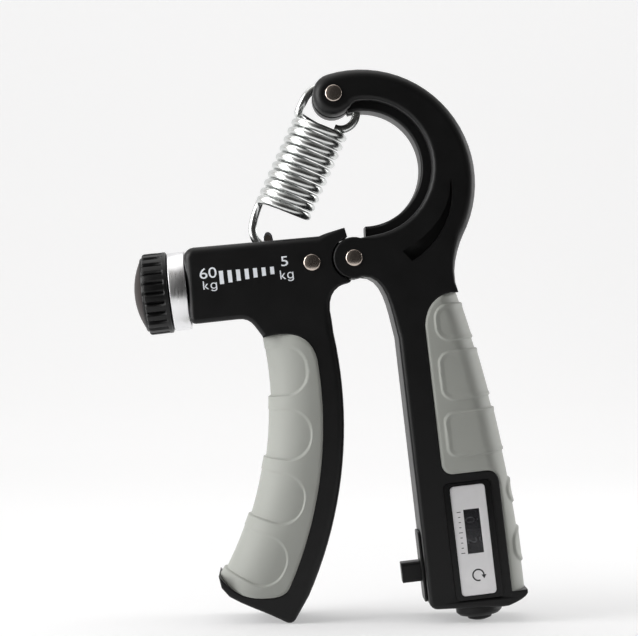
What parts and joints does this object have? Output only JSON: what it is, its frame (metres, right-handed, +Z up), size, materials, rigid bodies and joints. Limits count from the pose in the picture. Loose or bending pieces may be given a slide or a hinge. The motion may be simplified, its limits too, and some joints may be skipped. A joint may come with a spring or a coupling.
{
  "type": "hand grip strengthener",
  "caption": "Spring-loaded hand grip exerciser: a sprung lever and a counter handle on one hinge, with a screw knob that sets the load.",
  "frame": {"origin": "middle of the bounding box in X and Y, on the floor plane: the grip stands on the lever's toe and on its reset knob", "axes": "+X from the tension knob to the counter handle, -Y out of the labelled side, +Z up from the handles to the ring"},
  "size_m": [0.1113, 0.0238, 0.1559],
  "materials": {
    "black_plastic": "satin, fine moulded grain",
    "soft_grip": "matt thermoplastic rubber",
    "brown_plastic": "smooth dark brown",
    "label": "satin foil",
    "window": "dark clear window",
    "wheel_plastic": "plain",
    "ring_metal": "turned, satin",
    "spring_steel": "zinc plated",
    "nickel": "nickel plated",
    "steel": "plain",
    "brass": "plain"
  },
  "bodies": {
    "frame": {"frame_arm": "black_plastic", "frame_grip": "soft_grip", "hinge_rivet": "nickel", "anchor_rivet": "nickel", "main_spring": "spring_steel", "counter_case": "black_plastic", "counter_label": "label", "counter_window": "window", "pinion_axle": "steel", "button_plate": "black_plastic"},
    "lever": {"lever_arm": "black_plastic", "lever_grip": "soft_grip", "tail_rivet": "nickel", "tail_block": "black_plastic", "end_bush": "black_plastic", "barrel_ring": "ring_metal"},
    "tension_knob": {"adjuster_knob": "black_plastic", "knob_cap": "brown_plastic", "lead_screw": "steel", "retaining_clip": "steel"},
    "carriage": {"carriage_nut": "brass", "hook_pin": "steel"},
    "count_button": {"counter_button": "black_plastic", "drive_pawl": "brass", "button_spring": "spring_steel"},
    "reset_slide": {"reset_washer": "steel", "reset_spring": "spring_steel"},
    "reset": {"reset_knob": "black_plastic", "counter_shaft": "steel"},
    "units": {"units_wheel": "wheel_plastic"},
    "tens": {"tens_wheel": "wheel_plastic"},
    "pinion": {"carry_pinion": "brass"}
  },
  "joints": [
    {"name": "squeeze", "type": "hinge", "parent": "frame", "child": "lever", "pos_m": [0.0066, 0, 0.1025], "axis": [0, -1, 0], "range_deg": [0, 14.8], "stiffness_Nm_per_rad": 8, "springref_deg": -20.05, "deforming": ["main_spring"]},
    {"name": "knob_turn", "type": "hinge", "parent": "lever", "child": "tension_knob", "pos_m": [-0.0403, 0, 0.0935], "axis": [0.994, 0, 0.1097], "range_deg": [-270, 2520]},
    {"name": "carriage_slide", "type": "slide", "parent": "lever", "child": "carriage", "axis": [0.994, 0, 0.1097], "range_m": [-0.014, 0.0015]},
    {"name": "button_press", "type": "slide", "parent": "frame", "child": "count_button", "axis": [0.9932, 0, 0.1167], "range_m": [0, 0.004], "stiffness_N_per_m": 300, "springref_m": -0.002},
    {"name": "reset_push", "type": "slide", "parent": "frame", "child": "reset_slide", "axis": [-0.1167, 0, 0.9932], "range_m": [0, 0.0012], "stiffness_N_per_m": 600, "springref_m": -0.003},
    {"name": "reset_turn", "type": "hinge", "parent": "reset_slide", "child": "reset", "pos_m": [0.04012, -0.0034, 0.02287], "axis": [-0.1167, 0, 0.9932], "continuous": true},
    {"name": "units_turn", "type": "hinge", "parent": "frame", "child": "units", "pos_m": [0.04012, -0.0034, 0.02287], "axis": [-0.1167, 0, 0.9932], "continuous": true},
    {"name": "tens_turn", "type": "hinge", "parent": "frame", "child": "tens", "pos_m": [0.03977, -0.0034, 0.02585], "axis": [-0.1167, 0, 0.9932], "continuous": true},
    {"name": "pinion_turn", "type": "hinge", "parent": "frame", "child": "pinion", "pos_m": [0.03977, 0.0036, 0.02585], "axis": [-0.1167, 0, 0.9932], "continuous": true}
  ],
  "couplings": [
    {"joint": "knob_turn", "follows": "carriage_slide", "rad_per_m": -3141.6},
    {"joint": "tens_turn", "follows": "units_turn", "ratio": 0.1},
    {"joint": "pinion_turn", "follows": "units_turn", "ratio": -0.35333}
  ]
}
